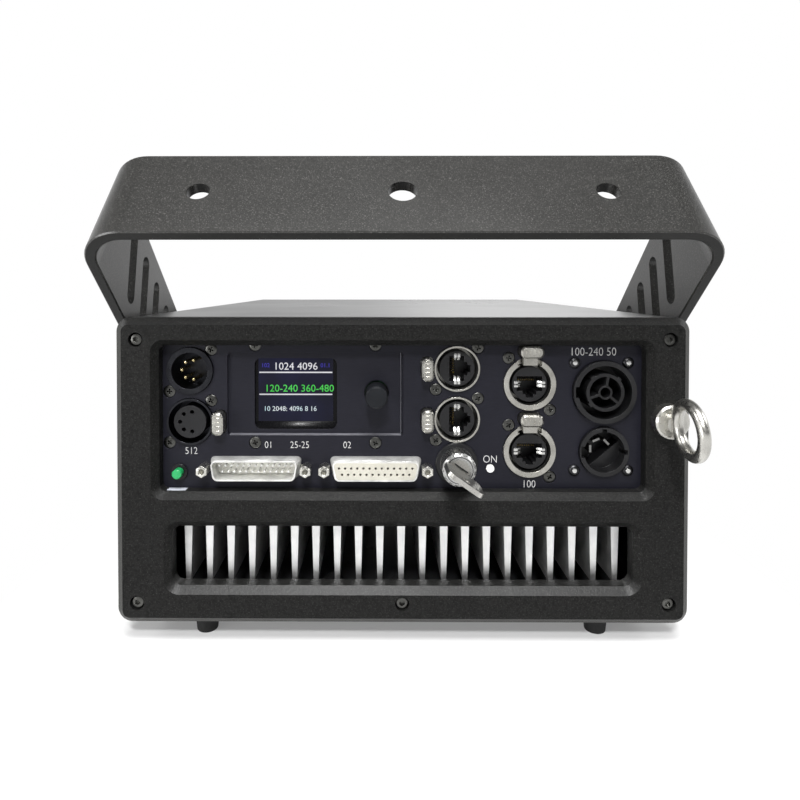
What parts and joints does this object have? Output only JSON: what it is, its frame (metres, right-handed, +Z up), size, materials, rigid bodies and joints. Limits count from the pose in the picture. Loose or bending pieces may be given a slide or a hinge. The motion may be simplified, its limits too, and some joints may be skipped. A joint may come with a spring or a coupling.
{
  "type": "laser show projector",
  "caption": "Box-shaped laser show projector with a tilting yoke, finned heat sink, connector panel, key switch, display and a masked beam window.",
  "frame": {"origin": "on the floor under the centre of the projector's overall box", "axes": "+X to the right when facing the connector panel, +Y from the connector panel towards the beam window, +Z up"},
  "size_m": [0.3204, 0.3503, 0.2232],
  "materials": {
    "frame_paint": "black fine-texture powder coat",
    "cover_paint": "black satin paint",
    "panel_black": "black anodised",
    "yoke_paint": "dark grey speckled powder coat",
    "sink_aluminium": "plain extruded",
    "optic_aluminium": "black anodised",
    "foot_rubber": "black",
    "black_steel": "black oxide",
    "grey_steel": "dull zinc",
    "plain_steel": "satin",
    "stainless": "polished",
    "nylon": "natural",
    "nickel": "satin nickel",
    "black_shell": "black chrome",
    "black_plastic": "fine matt",
    "dial_plastic": "satin black",
    "tin": "bright tin",
    "cream_plastic": "satin",
    "gold": "plated",
    "lock_chrome": "bright",
    "key_steel": "nickel silver",
    "lamp_white": "clear white",
    "button_green": "satin",
    "board_green": "solder mask",
    "screen": "dark display",
    "window_glass": "clear",
    "mask_metal": "black satin",
    "mirror": "coated"
  },
  "bodies": {
    "housing": {"rear_bezel": "frame_paint", "front_plate": "frame_paint", "top_cover": "cover_paint", "bottom_plate": "cover_paint", "connector_panel": "panel_black", "heat_sink": "sink_aluminium", "laser_modules": "optic_aluminium", "galvo_block": "optic_aluminium", "rubber_feet": "foot_rubber", "housing_screws": "black_steel", "power_screws": "black_steel", "pivot_bosses": "black_steel", "panel_screws": "grey_steel", "galvo_motors": "plain_steel", "power_contacts": "plain_steel", "power_supply": "plain_steel", "mask_screws": "plain_steel", "safety_eye": "stainless", "jack_posts": "stainless", "pivot_washers": "nylon", "network_shells": "nickel", "xlr_plug_shell": "black_shell", "xlr_socket_shell": "black_shell", "xlr_socket_insert": "black_plastic", "network_inserts": "black_plastic", "power_housing": "black_plastic", "button_bushing": "black_plastic", "encoder_body": "black_plastic", "fan_frames": "black_plastic", "signal_plug_shell": "tin", "signal_socket_shell": "tin", "signal_plug_insulator": "cream_plastic", "signal_socket_insulator": "cream_plastic", "contact_pins": "gold", "key_lock": "lock_chrome", "on_lamp": "lamp_white", "display_board": "board_green", "scanner_driver": "board_green", "control_board": "board_green", "lcd_panel": "screen", "aperture_glass": "window_glass", "beam_mirrors": "mirror"},
    "yoke": {"yoke": "yoke_paint"},
    "knob_left": {"clamp_knob_left": "black_plastic"},
    "knob_right": {"clamp_knob_right": "black_plastic"},
    "key_group": {"key_barrel": "key_steel", "key": "key_steel"},
    "button": {"push_button": "button_green"},
    "encoder_stem": {"encoder_plunger": "black_plastic"},
    "encoder_dial": {"encoder_knob": "dial_plastic"},
    "xlr_latch": {"xlr_latch": "nickel"},
    "network_latch_1": {"network_latch_1": "nickel"},
    "network_latch_2": {"network_latch_2": "nickel"},
    "network_latch_3": {"network_latch_3": "nickel"},
    "network_latch_4": {"network_latch_4": "nickel"},
    "mask": {"aperture_mask": "mask_metal"},
    "scan_x": {"scan_mirror_x": "mirror"},
    "scan_y": {"scan_mirror_y": "mirror"},
    "fan_left": {"fan_rotor_left": "black_plastic"},
    "fan_right": {"fan_rotor_right": "black_plastic"}
  },
  "joints": [
    {"name": "yoke_tilt", "type": "hinge", "parent": "housing", "child": "yoke", "pos_m": [0, -0.00775, 0.0809], "axis": [1, 0, 0], "range_deg": [-100, 55]},
    {"name": "knob_left_turn", "type": "hinge", "parent": "housing", "child": "knob_left", "pos_m": [0, -0.00775, 0.0809], "axis": [1, 0, 0], "range_deg": [0, 360]},
    {"name": "knob_right_turn", "type": "hinge", "parent": "housing", "child": "knob_right", "pos_m": [0, -0.00775, 0.0809], "axis": [1, 0, 0], "range_deg": [-360, 0]},
    {"name": "key_turn", "type": "hinge", "parent": "housing", "child": "key_group", "pos_m": [0.0255, -0.14185, 0.0805], "axis": [0, 1, 0], "range_deg": [0, 90]},
    {"name": "button_press", "type": "slide", "parent": "housing", "child": "button", "axis": [0, 1, 0], "range_m": [0, 0.0015], "stiffness_N_per_m": 400, "springref_m": -0.001},
    {"name": "encoder_press", "type": "slide", "parent": "housing", "child": "encoder_stem", "axis": [0, 1, 0], "range_m": [0, 0.0008], "stiffness_N_per_m": 900, "springref_m": -0.001},
    {"name": "encoder_turn", "type": "hinge", "parent": "encoder_stem", "child": "encoder_dial", "pos_m": [-0.0115, -0.14185, 0.113], "axis": [0, 1, 0], "continuous": true},
    {"name": "xlr_latch_press", "type": "slide", "parent": "housing", "child": "xlr_latch", "axis": [0, 1, 0], "range_m": [0, 0.0015], "stiffness_N_per_m": 500, "springref_m": -0.001},
    {"name": "network_latch_1_press", "type": "slide", "parent": "housing", "child": "network_latch_1", "axis": [0, 1, 0], "range_m": [0, 0.0015], "stiffness_N_per_m": 500, "springref_m": -0.001},
    {"name": "network_latch_2_press", "type": "slide", "parent": "housing", "child": "network_latch_2", "axis": [0, 1, 0], "range_m": [0, 0.0015], "stiffness_N_per_m": 500, "springref_m": -0.001},
    {"name": "network_latch_3_press", "type": "slide", "parent": "housing", "child": "network_latch_3", "axis": [0, 1, 0], "range_m": [0, 0.0015], "stiffness_N_per_m": 500, "springref_m": -0.001},
    {"name": "network_latch_4_press", "type": "slide", "parent": "housing", "child": "network_latch_4", "axis": [0, 1, 0], "range_m": [0, 0.0015], "stiffness_N_per_m": 500, "springref_m": -0.001},
    {"name": "mask_slide", "type": "slide", "parent": "housing", "child": "mask", "axis": [0, 0, 1], "range_m": [0, 0.01]},
    {"name": "scan_x_turn", "type": "hinge", "parent": "housing", "child": "scan_x", "pos_m": [0, 0.11615, 0.0857], "axis": [0, 1, 0], "range_deg": [-12, 12], "stiffness_Nm_per_rad": 0.002},
    {"name": "scan_y_turn", "type": "hinge", "parent": "housing", "child": "scan_y", "pos_m": [0, 0.11615, 0.0987], "axis": [1, 0, 0], "range_deg": [-12, 12], "stiffness_Nm_per_rad": 0.002},
    {"name": "fan_left_spin", "type": "hinge", "parent": "housing", "child": "fan_left", "pos_m": [-0.045, 0.01665, 0.017], "axis": [0, 0, 1], "continuous": true},
    {"name": "fan_right_spin", "type": "hinge", "parent": "housing", "child": "fan_right", "pos_m": [0.045, 0.01665, 0.017], "axis": [0, 0, 1], "continuous": true}
  ]
}
